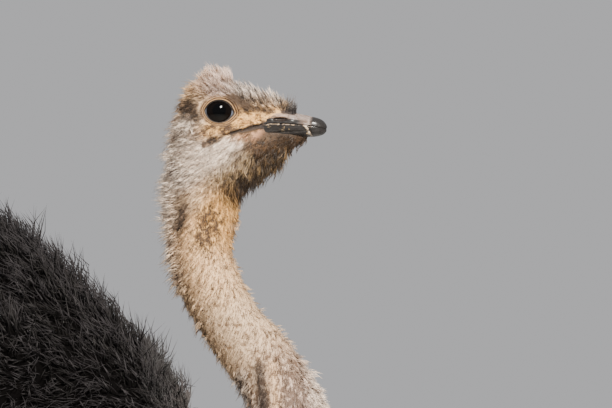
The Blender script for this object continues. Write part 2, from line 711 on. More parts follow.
# where the outline is drawn in: the ends of a line in profile, its reach and the depth, in mm
slimmer = [
    ((90, -60), (32, -124), 16, 8),
    ((34, -200), (62, -266), 22, 9),
    ((26, 44), (98, 18), 12, 8),
    ((24, 46), (58, 34), 9, 4),
    ((-42, 50), (-30, 62), 8, 5),
]


def slimDepth(places):
    depth = np.zeros(len(places))
    for start, end, reach, most in slimmer:
        depth = np.maximum(depth, most * hump(lineGap(places, [start, end]), reach))
    return depth


def bodyDepth(points):  # how far under the tips the skin lies, in metres
    depth = coatFields(points)["depth"] / 1000 + slimDepth(headPlaces(points)) / 1000
    behind = points[:, 0] < neckTopLow.x - skinSizes["legStart"]
    legs = behind & (np.abs(points[:, 1]) > skinSizes["legApart"])
    below = smoothStep(points[:, 2], trunkLow.z + 0.06, trunkLow.z - 0.01)
    return np.where(legs, depth + (skinSizes["legDepth"] - depth) * below, depth)


def lineLevel(line, ahead):  # the height of a line in profile
    places = np.array(sorted(line), float)
    return np.interp(ahead, places[:, 0], places[:, 1])


def headDepth(places):  # the same on the head, in mm, with the skin under the bill and level at the eyes
    depth = coatFields(onHeadPoints(places), skinSizes["headWiden"])["depth"] + slimDepth(places)
    ahead, _, high = places.T
    fromEye = np.hypot(ahead, high * 1.15)
    depth = depth + (skinSizes["eyeDepth"] - depth) * smoothStep(fromEye, *skinSizes["eyeEdge"])
    under, ridge = lineLevel(billUnder, ahead), lineLevel(billRidge, ahead)
    onBill = smoothStep(high, under - 2.5, under + 0.5) * smoothStep(high, ridge + 2.5, ridge - 0.5)
    start = skinSizes["billStart"]
    edge = np.where(high > lineLevel(mouthLine, ahead), start["upper"], start["lower"])
    billShare = onBill * smoothStep(ahead, edge - 3, edge + 3)
    bareShare = onBill * smoothStep(ahead, *skinSizes["bareEdge"]) * (1 - billShare)
    depth = depth + (skinSizes["billDepth"] - depth) * billShare
    return depth + (skinSizes["bareDepth"] - depth) * bareShare


def onHeadPoints(places):
    return np.array(headMiddle) + places @ headAxes / 1000


def inwardOnHead(places):  # unit directions to the middle line, blended over its near stretches
    line = np.array(middleLine, float)
    steps = np.linspace(0, len(line) - 1, len(line) * 6)
    marks = np.stack([np.interp(steps, np.arange(len(line)), line[:, axis]) for axis in (0, 1)], 1)
    gaps = ((places[:, None, [0, 2]] - marks) ** 2).sum(2)
    pull = np.exp(-(gaps - gaps.min(1, keepdims=True)) / (2 * skinSizes["inwardBlend"] ** 2))
    middles = (pull @ marks) / pull.sum(1, keepdims=True)
    inward = np.stack([middles[:, 0] - places[:, 0], -places[:, 1], middles[:, 1] - places[:, 2]], 1)
    return inward / np.maximum(np.linalg.norm(inward, axis=1, keepdims=True), 1)


def calmed(piece, values, rounds):  # each value averaged with its neighbours', round after round
    first, second = numbersOf(piece.data.edges, "vertices", 2, np.int32).T
    count = len(values)
    links = np.bincount(np.r_[first, second], minlength=count) + 1
    for _ in range(rounds):
        beside = np.bincount(first, values[second], count) + np.bincount(second, values[first], count)
        values = (values + beside) / links
    return values


def sinkHead(head):
    places = headPlaces(pointsOf(head))
    depth = calmed(head, headDepth(places), skinSizes["headCalm"])[:, None]
    sunk = places + inwardOnHead(places) * depth
    movePoints(head, pointsOf(head) + (sunk - places) @ headAxes / 1000)
    applyModifier(head, "SMOOTH", factor=0.5, iterations=3)


def setOnFloor(skin):  # the soles come down to the floor
    points = pointsOf(skin)
    height, sole = points[:, 2], skinSizes["sole"]
    lowest = height.min()
    points[:, 2] = np.where(height < sole, (height - lowest) * sole / (sole - lowest), height)
    movePoints(skin, points)


def sinkBody(skin):
    steps = 4
    for _ in range(steps):
        points = pointsOf(skin)
        movePoints(skin, points - normalsOf(skin) * bodyDepth(points)[:, None] / steps)
        applyModifier(skin, "SMOOTH", factor=0.5, iterations=1)


# lids and mouth, in the skin itself, in mm, with forwardTurn in degrees and the corners' turn and
# width in radians
eyeSizes = {
    "forwardTurn": 12,
    "halfWidth": 18.4,
    "halfHeight": 15.4,
    "frontCorner": {"out": 2.2, "turn": 0.12, "width": 0.24},
    "backCorner": {"out": 1.2, "turn": 0.10, "width": 0.26},
    "ballRadius": 24.0,
    "ballDepth": 19.0,
    "irisRadius": 17.6,
    "irisLift": 1.4,
    "pupilRadius": 9.0,
    "hiddenRadius": 20.5,
    "steps": 112,
    "holeEdge": 9.4,
    "holeReach": 16,
    "dishDepth": 9,
    "rayStart": 45,
}
# each ring of the lids: how far out from their edge and how high over the ball or the face, in mm, how
# much of the way it has gone from the one to the other, and its colour
lidRows = [
    (-9.0, -8.0, 0.0, "soot"),
    (-5.0, -4.6, 0.0, "soot"),
    (-2.6, -2.4, 0.0, "soot"),
    (-1.6, -0.7, 0.0, "soot"),
    (-0.9, 0.4, 0.0, "soot"),
    (-0.3, 1.0, 0.0, "soot"),
    (0.4, 1.4, 0.0, "soot"),
    (1.0, 1.7, 0.02, "loam"),
    (1.7, 1.7, 0.05, "lid"),
    (2.3, 1.1, 0.09, "lidShade"),
    (2.8, 0.2, 0.13, "loam"),
    (3.2, 0.1, 0.18, "umber"),
    (3.8, 1.0, 0.26, "lidShade"),
    (4.5, 1.5, 0.36, "lid"),
    (5.1, 1.1, 0.46, "lidShade"),
    (5.6, 0.2, 0.56, "loam"),
    (6.1, 0.1, 0.66, "umber"),
    (6.7, 0.6, 0.78, "lidShade"),
    (7.4, 0.5, 0.90, "bark"),
    (8.2, 0.0, 1.0, "olive"),
]


def eyeFrame(side):  # the eye's middle, and its forward, up and outward directions as rows
    turn = math.radians(eyeSizes["forwardTurn"])
    outward = headAhead * math.sin(turn) + headLeft * sides[side] * math.cos(turn)
    forward = headAhead * math.cos(turn) - headLeft * sides[side] * math.sin(turn)
    return np.array(boxMiddle(f"eye_{side}")), np.array([forward, up, outward])


def lidEdge(angles):  # radius of the opening between the lids, in mm
    wide, tall = eyeSizes["halfWidth"], eyeSizes["halfHeight"]
    edge = wide * tall / np.hypot(tall * np.cos(angles), wide * np.sin(angles))
    for name, shift in (("frontCorner", math.pi), ("backCorner", 0)):
        corner = eyeSizes[name]
        away = (angles + shift + corner["turn"]) % math.tau - math.pi
        edge = edge + corner["out"] * hump(away, corner["width"])
    return edge


def lidStretch(angles):  # the folds are widest ahead and above, and close below
    ahead = np.clip(np.cos(angles), 0, 1)
    above = np.sin(angles)
    return 0.86 + 0.30 * ahead**2 + 0.14 * np.clip(above, 0, 1) - 0.20 * np.clip(-above, 0, 1)


def ballHeight(across):
    return eyeSizes["ballDepth"] * np.sqrt(np.clip(1 - (across / eyeSizes["ballRadius"]) ** 2, 0, 1))


def lidDistance(points, side):  # mm out from the lids' edge, and the height outward
    middle, axes = eyeFrame(side)
    places = (points - middle) @ axes.T * 1000
    angles = np.arctan2(places[:, 1], places[:, 0])
    out = (np.hypot(places[:, 0], places[:, 1]) - lidEdge(angles)) / lidStretch(angles)
    return np.where(places[:, 2] > -6, out, 99), places


def setLids(head, side):
    middle, axes = eyeFrame(side)
    surface = surfaceOf(head)
    steps, rayStart = eyeSizes["steps"], eyeSizes["rayStart"]
    angles = np.arange(steps) / steps * math.tau
    edge, stretch = lidEdge(angles), lidStretch(angles)
    rings = []
    for out, rise, blend, _ in lidRows:
        across = edge + out * stretch
        level = ballHeight(np.minimum(across, edge)) + rise
        if blend > 0:
            for i in range(steps):
                flat = Vector((across[i] * math.cos(angles[i]), across[i] * math.sin(angles[i]), rayStart))
                start = Vector(middle + np.array(flat) @ axes / 1000)
                hit = surface.ray_cast(start, Vector(-axes[2]))[0]
                face = rayStart - (hit - start).length * 1000
                level[i] = (1 - blend) * ballHeight(edge[i]) + blend * face + rise
        rings.append(np.stack([across * np.cos(angles), across * np.sin(angles), level], 1))
    places = np.concatenate([[(0, 0, ballHeight(0) - eyeSizes["dishDepth"])], *rings])
    triangles = []
    for i in range(steps):
        j = (i + 1) % steps
        triangles.append((0, 1 + i, 1 + j))
        for ring in range(len(rings) - 1):
            inner, outer = 1 + ring * steps, 1 + (ring + 1) * steps
            triangles.append((inner + i, outer + i, outer + j))
            triangles.append((inner + i, outer + j, inner + j))
    dish = meshPiece("lids", middle + places @ axes / 1000, np.array(triangles))
    out, _ = lidDistance(faceMiddles(head), side)
    selectFaces(head, out < eyeSizes["holeEdge"])
    bpy.ops.mesh.delete(type="FACE")
    bpy.ops.object.mode_set(mode="OBJECT")
    joinPieces(head, dish)
    selectOpenEdges(head)
    bpy.ops.object.mode_set(mode="OBJECT")
    # only the two edges round this eye are bridged
    out, _ = lidDistance(pointsOf(head), side)
    for line in head.data.edges:
        line.select = line.select and out[line.vertices[0]] < eyeSizes["holeReach"]
    bpy.ops.object.mode_set(mode="EDIT")
    bpy.ops.mesh.bridge_edge_loops()
    faceOutwards()


def lineGap(places, line):  # distance in profile to a line of (ahead, up)
    line = np.array(line, float)
    best = np.full(len(places), 1e9)
    for start, end in zip(line, line[1:]):
        way = end - start
        away = places[:, [0, 2]] - start
        along = np.clip((away @ way) / (way @ way), 0, 1)
        best = np.minimum(best, np.linalg.norm(away - along[:, None] * way, axis=1))
    return best


mouthSizes = {
    "fold": 2.4,
    "foldWidth": 1.1,
    "lip": 1.2,
    "lipPlace": 3.4,
    "lipWidth": 1.9,
    "reach": 8,
    "front": 62,
    "apart": 8,
}


def foldMouth(head):  # the fold behind the bill's corner and its lips
    places = headPlaces(faceMiddles(head))
    near = lineGap(places, mouthLine) < mouthSizes["reach"]
    near &= (places[:, 0] < mouthSizes["front"]) & (np.abs(places[:, 1]) > mouthSizes["apart"])
    selectFaces(head, near)
    bpy.ops.mesh.subdivide(number_cuts=2)
    bpy.ops.object.mode_set(mode="OBJECT")
    places = headPlaces(pointsOf(head))
    gap = lineGap(places, mouthLine)
    fade = smoothStep(places[:, 0], -18, 2) * smoothStep(places[:, 0], 66, 54)
    fade = fade * smoothStep(np.abs(places[:, 1]), 6, 12)
    push = mouthSizes["lip"] * hump(gap - mouthSizes["lipPlace"], mouthSizes["lipWidth"])
    push = push - mouthSizes["fold"] * hump(gap, mouthSizes["foldWidth"])
    movePoints(head, pointsOf(head) + normalsOf(head) * (push * fade / 1000)[:, None])


print("skin")
skin = makeSkin()
print("  triangles", sum(len(face.vertices) - 2 for face in skin.data.polygons))


def mixInto(colours, name, mask):
    return colours + (tints[name] - colours) * mask[:, None]


def neckLine(places):  # how far ahead the body's feathers begin at each height
    return np.interp(places[:, 2], [-700, -600, -520, -460, -100], [70, 10, -30, -62, -100])


def onNeck(places, further=0):
    return places[:, 0] - further > neckLine(places)


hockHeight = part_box("shank_right")[1].z - 0.05
# in mm, with the shadow's turn and width in radians
skinMarks = {
    "lidEdge": (8.4, 6.8),
    "lidShadow": {"turn": 0.75, "width": 0.6, "share": 0.8},
    "crease": 1.6,
    "wedge": {"start": 36, "slope": 0.24, "end": 72},
    "bodyEdge": (6, -26),
}


def skinMarkings(points):
    fields = coatFields(points)
    pale, dark, share = fields["pale"], fields["dark"], fields["share"]
    outs = [row[0] for row in lidRows]
    colours = np.array([tints[row[3]] for row in lidRows])
    for side in sides:
        out, spots = lidDistance(points, side)
        onLid = smoothStep(out, *skinMarks["lidEdge"])[:, None]
        lid = np.stack([np.interp(out, outs, colours[:, axis]) for axis in range(3)], 1)
        # the outer folds darken towards the brow
        shadow = skinMarks["lidShadow"]
        turn = np.arctan2(spots[:, 1], spots[:, 0]) - shadow["turn"]
        shaded = hump(turn, shadow["width"]) * smoothStep(out, 2.6, 4.4)
        lid = mixInto(lid, "loam", shaded * shadow["share"])
        pale = pale + (lid - pale) * onLid
        dark = dark + (lid * 0.6 - dark) * onLid
        share = share * (1 - 0.5 * onLid[:, 0])
    places = headPlaces(points)
    ahead, _, high = places.T
    crease = hump(lineGap(places, mouthLine), skinMarks["crease"])
    crease = crease * smoothStep(ahead, -18, 0) * smoothStep(ahead, 70, 60)
    # a grey wedge under the mouth's line, deeper towards the bill
    wedge = skinMarks["wedge"]
    under = lineLevel(mouthLine, ahead) - high
    grey = smoothStep(under, -0.5, 0.5) * smoothStep(ahead, wedge["start"], 52)
    grey = grey * smoothStep(under - (ahead - wedge["start"]) * wedge["slope"], 0.8, -0.8)
    grey = grey * (ahead < wedge["end"])
    pale = mixInto(mixInto(pale, "steel", grey), "soot", crease)
    body = smoothStep(ahead - neckLine(places), *skinMarks["bodyEdge"])
    pale = mixInto(pale, "pitch", body)
    dark = mixInto(dark, "pitch", body)
    onLeg = smoothStep(points[:, 2], trunkLow.z + 0.03, trunkLow.z - 0.02) * (points[:, 0] < 0.3)
    shank = onLeg * smoothStep(points[:, 2], hockHeight + 0.07, hockHeight - 0.02)
    pale = mixInto(mixInto(pale, "thigh", onLeg), "shin", shank)
    dark = mixInto(mixInto(dark, "thighShade", onLeg), "dusk", shank)
    share = share + (0.35 - share) * onLeg
    return pale, dark, share, shank


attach(skin, "root")
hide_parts(*bodyFlesh, *headFlesh)
skin.data.shade_smooth()
pale, dark, share, scaly = skinMarkings(pointsOf(skin))
storeMarkings(skin, pale, dark, share)
storeValue(skin, "scaly", scaly)
skin.data.materials.append(skinPaint)
skin.data.materials.append(underPaint)
middles = faceMiddles(skin)
feathered = ~onNeck(headPlaces(middles), -20) & (middles[:, 2] > trunkLow.z)
skin.data.polygons.foreach_set("material_index", feathered.astype(np.int32))

eyeTints = {
    "pupil": tint(3, 3, 4),
    "iris": tint(11, 7, 6),
    "rim": tint(16, 12, 10),
    "white": tint(104, 112, 126),
}


def makeEye(side):
    bpy.ops.object.select_all(action="DESELECT")
    bpy.ops.mesh.primitive_uv_sphere_add(segments=96, ring_count=64, radius=1)
    eye = bpy.context.object
    eye.name = f"eyeball_{side}"
    middle, axes = eyeFrame(side)
    shape = pointsOf(eye)
    across = np.hypot(shape[:, 0], shape[:, 1]) * eyeSizes["ballRadius"]
    places = shape * [eyeSizes["ballRadius"], eyeSizes["ballRadius"], eyeSizes["ballDepth"]]
    narrow = np.minimum(1, eyeSizes["hiddenRadius"] / np.maximum(across, 1))
    places[:, :2] *= narrow[:, None]
    # the cornea bulges by a millimetre
    places[:, 2] += smoothStep(across, 15, 2) * (shape[:, 2] > 0)
    movePoints(eye, middle + places @ axes / 1000)
    if sides[side] < 0:  # the axes of one side are mirrored
        eye.data.flip_normals()
    across = np.hypot(places[:, 0], places[:, 1] - eyeSizes["irisLift"])
    pupil, iris = eyeSizes["pupilRadius"], eyeSizes["irisRadius"]
    bands = [(0, "pupil"), (pupil, "pupil"), (pupil + 0.8, "iris"), (iris - 1.5, "iris")]
    bands += [(iris - 0.3, "rim"), (iris + 0.5, "white"), (eyeSizes["ballRadius"], "white")]
    radii = [radius for radius, _ in bands]
    colours = np.array([eyeTints[name] for _, name in bands])
    storeColour(eye, "pale", np.stack([np.interp(across, radii, row) for row in colours.T], 1))
    eye.data.shade_smooth()
    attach(eye, "root")
    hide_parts(f"eye_{side}")
    eye.data.materials.append(eyePaint)


print("eyes")
for side in sides:
    makeEye(side)

# the bill: voxel in metres, the rest in mm, with places ahead and up of the eyes
billSizes = {
    "voxel": 0.0008,
    "nailStart": 127,
    "nailProud": 0.8,
    "groove": 0.8,
    "ridge": 0.9,
    "nostril": {"place": (86, -10.5), "half": (11, 3.2), "rim": 0.8, "rimPlace": 1.35, "rimWidth": 0.28},
    "cover": {"place": (84, -5.0), "half": (12, 3.2), "proud": 1.5},
    "edge": 0.5,
    "edgePlace": 1.6,
    "edgeWidth": 1.2,
    "seam": 0.25,
    "chevron": {"place": (125, -28), "slope": 0.5, "width": 2.2, "share": 0.55},
    "darkTip": (124, 130),
}
sideGroove = [(98, -10), (112, -12), (127, -15)]
lowerGroove = [(58, -33), (92, -28), (126, -27)]


def fromPlace(ahead, high, spot):  # 1 on the edge of an oval spot
    place, half = spot["place"], spot["half"]
    return np.hypot((ahead - place[0]) / half[0], (high - place[1]) / half[1])


def makeBill(half):
    bill = joinedCopy(f"horn_{half}", [f"bill_{half}"])
    applyModifier(bill, "REMESH", mode="VOXEL", voxel_size=billSizes["voxel"])
    applyModifier(bill, "SMOOTH", factor=0.5, iterations=8)
    places = headPlaces(pointsOf(bill))
    ahead, left, high = places.T
    nail = smoothStep(ahead, billSizes["nailStart"] - 0.6, billSizes["nailStart"] + 1.4)
    step = hump(ahead - billSizes["nailStart"] + 1, 0.9)
    outside = smoothStep(np.abs(left), 3, 8)
    fromMouth = np.abs(high - lineLevel(billMouth, ahead))
    if half == "upper":
        nostril, cover = billSizes["nostril"], billSizes["cover"]
        push = billSizes["ridge"] * hump(left, 4) * smoothStep(ahead, 74, 92) * (1 - nail)
        push = push - billSizes["groove"] * hump(lineGap(places, sideGroove), 1.3) * outside
        rim = hump(fromPlace(ahead, high, nostril) - nostril["rimPlace"], nostril["rimWidth"])
        push = push + nostril["rim"] * rim * outside
        push = push + cover["proud"] * hump(fromPlace(ahead, high, cover), 1) * outside
        push = push + billSizes["nailProud"] * nail - 0.6 * step
    else:
        push = -billSizes["groove"] * hump(lineGap(places, lowerGroove), 1.5) * outside
        push = push + 0.4 * billSizes["nailProud"] * nail - 0.35 * step
    edge = hump(fromMouth - billSizes["edgePlace"], billSizes["edgeWidth"])
    push = push + billSizes["edge"] * edge * (1 - nail)
    push = push - billSizes["seam"] * hump(fromMouth, 0.5)
    movePoints(bill, pointsOf(bill) + normalsOf(bill) * (push / 1000)[:, None])
    applyModifier(bill, "SMOOTH", factor=0.5, iterations=1)
    bill.data.shade_smooth()
    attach(bill, "root")
    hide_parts(f"bill_{half}")
    storeMarkings(bill, *billMarkings(places, half))
    bill.data.materials.append(billPaint)


def billMarkings(places, half):
    ahead, _, high = places.T
    fromMouth = np.abs(high - lineLevel(billMouth, ahead))
    tip = smoothStep(ahead, *billSizes["darkTip"])
    if half == "upper":
        pale = np.tile(tints["horn"], (len(places), 1))
        pale = mixInto(pale, "lore", smoothStep(ahead, 104, 84))
        pale = mixInto(pale, "gold", smoothStep(ahead, 84, 68))
        band = smoothStep(fromMouth, 8.5, 6.0) * smoothStep(ahead, 122, 108)
        pale = mixInto(pale, "steel", band)
        dark = mixInto(np.tile(tints["dusk"], (len(places), 1)), "coal", band)
        share = 0.40 + 0.50 * band
        inside = smoothStep(fromPlace(ahead, high, billSizes["nostril"]), 1.10, 0.85)
        pale = mixInto(pale, "umber", inside)
        dark = mixInto(dark, "soot", inside)
    else:
        lip = smoothStep(fromMouth, 2.0, 0.9) * smoothStep(ahead, 50, 60) * 0.7
        # a pale chevron behind the nail
        mark = billSizes["chevron"]
        behind = ahead - mark["place"][0] + (high - mark["place"][1]) * mark["slope"]
        chevron = hump(behind, mark["width"]) * mark["share"]
        pale = mixInto(np.tile(tints["olive"], (len(places), 1)), "horn", lip)
        pale = mixInto(pale, "snow", chevron)
        dark = np.tile(tints["coal"], (len(places), 1))
        share = (0.78 + 0.12 * smoothStep(ahead, 86, 104)) * (1 - 0.5 * lip) * (1 - 0.9 * chevron)
    return mixInto(pale, "coal", tip), mixInto(dark, "coal", tip), share


print("bill")
for half in ("upper", "lower"):
    makeBill(half)


def makeClaw(name):
    claw = joinedCopy(f"{name}_horn", [name])
    applyModifier(claw, "SUBSURF", levels=2, render_levels=2)
    claw.data.shade_smooth()
    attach(claw, "root")
    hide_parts(name)
    count = len(claw.data.vertices)
    pale, dark = (np.tile(tints[name], (count, 1)) for name in ("claw", "soot"))
    storeMarkings(claw, pale, dark, np.full(count, 0.4))
    claw.data.materials.append(clawPaint)


print("claws")
for side in sides:
    for toe in ("big", "small"):
        makeClaw(f"claw_{toe}_{side}")

# scutes: overlapping plates down the front of each shank and along the toes, with thickness and under
# in mm, rayStart in metres, and side in degrees each way
scuteSizes = {
    "columns": 18,
    "ringsPerRow": 5,
    "thickness": 1.7,
    "under": 2.5,
    "rayStart": 0.07,
    "side": {"shank": 58, "big": 60, "small": 34},
    "rows": {"shank": 24, "big": 13, "small": 6},
}
# share of a row, share of the thickness
scuteRelief = [(0, 0.42), (0.62, 0.86), (0.86, 1.0), (0.95, 0.8), (1, 0.42)]


def makeScutes(title, line, front, limb, surface):  # line is the limb's middle, from its top to its end
    line = np.array(line)
    rows, side = scuteSizes["rows"][limb], scuteSizes["side"][limb]
    rings = rows * scuteSizes["ringsPerRow"] + 1
    steps = np.linspace(0, len(line) - 1, rings)
    middles = np.stack([np.interp(steps, np.arange(len(line)), line[:, axis]) for axis in range(3)], 1)
    way = unit(np.gradient(middles, axis=0))
    across = unit(np.cross(way, front))
    ahead = np.cross(across, way)
    angles = np.radians(np.linspace(-side, side, scuteSizes["columns"]))
    random = np.random.default_rng(rows)
    own = np.arange(rings) // scuteSizes["ringsPerRow"]
    share = np.arange(rings) / scuteSizes["ringsPerRow"] % 1
    # each plate has its own width and round corners
    wide = random.uniform(0.84, 1.08, rows + 1)[own] * (0.90 + 0.10 * np.sin(share * math.pi))
    relief = np.interp(share, *zip(*scuteRelief)) * scuteSizes["thickness"] / 1000
    ends = np.minimum(np.arange(rings), np.arange(rings)[::-1]) > 0
    outer, inner = [], []
    for ring in range(rings):
        for column, angle in enumerate(angles):
            turned = angle * wide[ring]
            out = ahead[ring] * math.cos(turned) + across[ring] * math.sin(turned)
            start = middles[ring] + out * scuteSizes["rayStart"]
            hit = np.array(surface.ray_cast(Vector(start), Vector(-out))[0] or Vector(middles[ring]))
            rim = 0 if column in (0, len(angles) - 1) or not ends[ring] else 1
            bulge = math.cos(angle * 1.2)
            outer.append(hit + out * (relief[ring] * bulge * rim - 0.0006 * (1 - rim)))
            inner.append(hit - out * scuteSizes["under"] / 1000)
    columns, count = len(angles), len(outer)
    faces = []
    for ring in range(rings - 1):
        for column in range(columns - 1):
            a = ring * columns + column
            b, c, d = a + 1, a + columns + 1, a + columns
            faces += [(a, b, c), (a, c, d)]
            faces += [(count + a, count + c, count + b), (count + a, count + d, count + c)]
    border = [ring * columns for ring in range(rings)]
    border += [(rings - 1) * columns + column for column in range(1, columns)]
    border += [ring * columns + columns - 1 for ring in range(rings - 2, -1, -1)]
    border += [column for column in range(columns - 2, 0, -1)]
    for a, b in zip(border, border[1:] + border[:1]):
        faces += [(a, b, count + b), (a, count + b, count + a)]
    piece = meshPiece(title, np.array(outer + inner), np.array(faces))
    activate(piece)
    bpy.ops.object.mode_set(mode="EDIT")
    faceOutwards()
    row = np.tile(np.repeat(own, columns), 2)
    tone = random.uniform(0.8, 1.12, rows + 1)[row]
    edge = np.tile(np.repeat(smoothStep(share, 0.12, 0.0) + smoothStep(share, 0.9, 1.0), columns), 2)
    outside = np.tile(smoothStep(np.abs(angles) / angles[-1], 0.6, 1.0), rings * 2)
    pale = mixInto(tints["scute"] * tone[:, None], "dusk", np.clip(edge, 0, 1) * 0.8)
    pale = mixInto(pale, "dusk", outside * 0.7)
    storeMarkings(piece, pale, np.tile(tints["dusk"] * 0.7, (len(row), 1)), np.full(len(row), 0.34))
    piece.data.shade_smooth()
    piece.data.materials.append(scutePaint)
    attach(piece, "root")


def sectionMiddle(points, axis, level, width):  # the middle of a limb's points near a level
    near = points[np.abs(points[:, axis] - level) < width]
    return (near.min(0) + near.max(0)) / 2


def makeLegScutes():
    surface, points = surfaceOf(skin), pointsOf(skin)
    forward, upward = np.array([1.0, 0, 0]), np.array([0, 0, 1.0])
    for side in sides:
        low, high = (np.array(corner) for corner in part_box(f"shank_{side}"))
        inBox = ((points > low - 0.01) & (points < high + 0.01)).all(1)
        line = []
        for level in np.linspace(high[2] - 0.085, low[2] + 0.035, 8):
            middle = sectionMiddle(points[inBox], 2, level, 0.010)
            line.append([middle[0], middle[1], level])
        makeScutes(f"scutes_shank_{side}", line, forward, "shank", surface)
        for toe, start, end in (("big", 0.30, 0.012), ("small", 0.42, 0.026)):
            low, high = (np.array(corner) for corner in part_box(f"toe_{toe}_{side}"))
            inBox = ((points > low - 0.006) & (points < high + 0.006)).all(1)
            line = []
            for level in np.linspace(low[0] + (high[0] - low[0]) * start, high[0] - end, 6):
                middle = sectionMiddle(points[inBox], 0, level, 0.008)
                line.append([level, middle[1], low[2] + 0.008])
            makeScutes(f"scutes_{toe}_{side}", line, upward, toe, surface)


print("scutes")
makeLegScutes()

# the coat's own tools: roots spread over a bed of skin, and tapering strands along paths


def bedOf(title, chosen):  # the skin's own faces under a stretch of coat, unwrapped to fill the square
    bed = bpy.data.objects.new(title, skin.data.copy())
    bpy.context.scene.collection.objects.link(bed)
    selectFaces(bed, ~chosen)
    bpy.ops.mesh.delete(type="FACE")
    bpy.ops.mesh.select_all(action="SELECT")
    bpy.ops.uv.smart_project(angle_limit=1.15, island_margin=0.004, scale_to_bounds=True)
    bpy.ops.object.mode_set(mode="OBJECT")
    return bed


def apart(places, gaps):  # which places to keep so that none is nearer than its gap to one kept before
    tree = treeOf(places)
    kept = np.zeros(len(places), bool)
    for number, place in enumerate(places):
        kept[number] = not any(kept[near[1]] for near in tree.find_range(place, gaps[number]))
    return kept


def scatter(bed, count, crowding, random):  # roots spread evenly by area and crowding
    mesh = bed.data
    mesh.calc_loop_triangles()
    corners, loops = (numbersOf(mesh.loop_triangles, name, 3, np.int32) for name in ("vertices", "loops"))
    flat = numbersOf(mesh.uv_layers.active.data, "uv", 2)
    points, normals = pointsOf(bed), normalsOf(bed)
    first, second, third = (points[corner] for corner in corners.T)
    area = np.linalg.norm(np.cross(second - first, third - first), axis=1) / 2
    crowd = crowding((first + second + third) / 3)
    weight = np.cumsum(area * crowd)
    tries = count * 2
    picks = random.permutation((np.arange(tries) + random.random(tries)) / tries) * weight[-1]
    chosen = np.searchsorted(weight, picks)
    one, two = random.random(tries), random.random(tries)
    over = one + two > 1
    one, two = np.where(over, 1 - one, one), np.where(over, 1 - two, two)
    shares = np.stack([1 - one - two, one, two], 1)[:, :, None]
    place = (points[corners[chosen]] * shares).sum(1)
    normal = unit((normals[corners[chosen]] * shares).sum(1))
    flat = (flat[loops[chosen]] * shares).sum(1)
    gaps = coatSizes["gap"] * np.sqrt(weight[-1] / count / crowd[chosen])
    kept = np.flatnonzero(apart(place, gaps))[:count]
    return place[kept], normal[kept], flat[kept]


def mottleOf(points, grain):  # smooth noise, about 0 to 1
    return np.clip([noise.noise(Vector(point) / grain) * 0.8 + 0.5 for point in points], 0, 1)


def tapered(paths, width, facing, flatness=1.0):  # three-sided strands, each along its path to a point
    count, stops, _ = paths.shape
    rings = stops - 1
    rows = []
    for ring in range(rings):
        way = unit(paths[:, ring + 1] - paths[:, ring])
        sideways = unit(np.cross(way, facing) + 1e-7)
        upward = np.cross(sideways, way) * flatness
        half = (width / 2 * (1 - 0.45 * ring / rings))[:, None]
        for turn in range(3):
            angle = math.tau * turn / 3 + math.pi / 2
            rows.append(paths[:, ring] + (sideways * math.cos(angle) + upward * math.sin(angle)) * half)
    rows.append(paths[:, -1])
    faces = [(0, 1, 2)]
    for ring in range(rings):
        for i in range(3):
            here, there = ring * 3 + i, ring * 3 + (i + 1) % 3
            if ring + 1 < rings:
                faces += [(here, here + 3, there + 3), (here, there + 3, there)]
            else:
                faces.append((here, rings * 3, there))
    along = np.append(np.repeat(np.arange(rings) / rings, 3), 1.0)
    return np.stack(rows, 1), np.array(faces), along


coatCount = []


def coatPiece(title, strands, slot, paint, *replaced):
    # strands are sets of what tapered gives, colours, the roots' places on the map, and each strand's
    # place in its patch of the map
    points, faces, maps, colours, alongs = [], [], [], [], []
    shift = 0
    for (shape, shapeFaces, along), colour, flat, place in strands:
        count, each, _ = shape.shape
        points.append(shape.reshape(-1, 3))
        faces.append((shapeFaces[None] + shift + (np.arange(count) * each)[:, None, None]).reshape(-1, 3))
        shift += count * each
        colours.append(np.repeat(colour, each, axis=0))
        alongs.append(np.tile(along, count))
        across = np.broadcast_to(place[:, None] - 0.5, (count, each))
        lengthwise = np.broadcast_to(along[None] - 0.5, (count, each))
        maps.append((flat[:, None] + np.stack([lengthwise, across], 2) * coatSizes["patch"]).reshape(-1, 2))
    points, faces, maps = np.concatenate(points), np.concatenate(faces), np.concatenate(maps)
    piece = meshPiece(title, points, faces)
    layer = piece.data.uv_layers.new(name="OFBake")
    layer.data.foreach_set("uv", maps[faces.ravel()].ravel())
    storeColour(piece, "tint", np.concatenate(colours))
    storeValue(piece, "along", np.concatenate(alongs))
    piece.data.shade_smooth()
    piece.data.materials.append(paint)
    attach(piece, "root")
    if replaced:
        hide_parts(*replaced)
    print("  ", title, len(faces))
    coatCount.append(len(faces))


# down and feathers, tufts of tapering strands: gap is a share of an even spacing, bareLid, nearLid and
# gatherLength are mm, patch is a share of the map, and proud is how far past the box a tip may stand,
# in metres
coatSizes = {
    "gap": 0.66,
    "leastCrowd": 0.25,
    "bareLid": 3.2,
    "nearLid": (4, 15),
    "billStart": {"upper": 74, "lower": 50},
    "rise": (0.03, 0.95),
    "tuftLength": (0.68, 1.12),
    "strandLength": (0.72, 1.08),
    "strandWidth": (0.8, 1.25),
    "gatherLength": (11, 17),
    "patch": 0.003,
    "proud": 0.016,
}
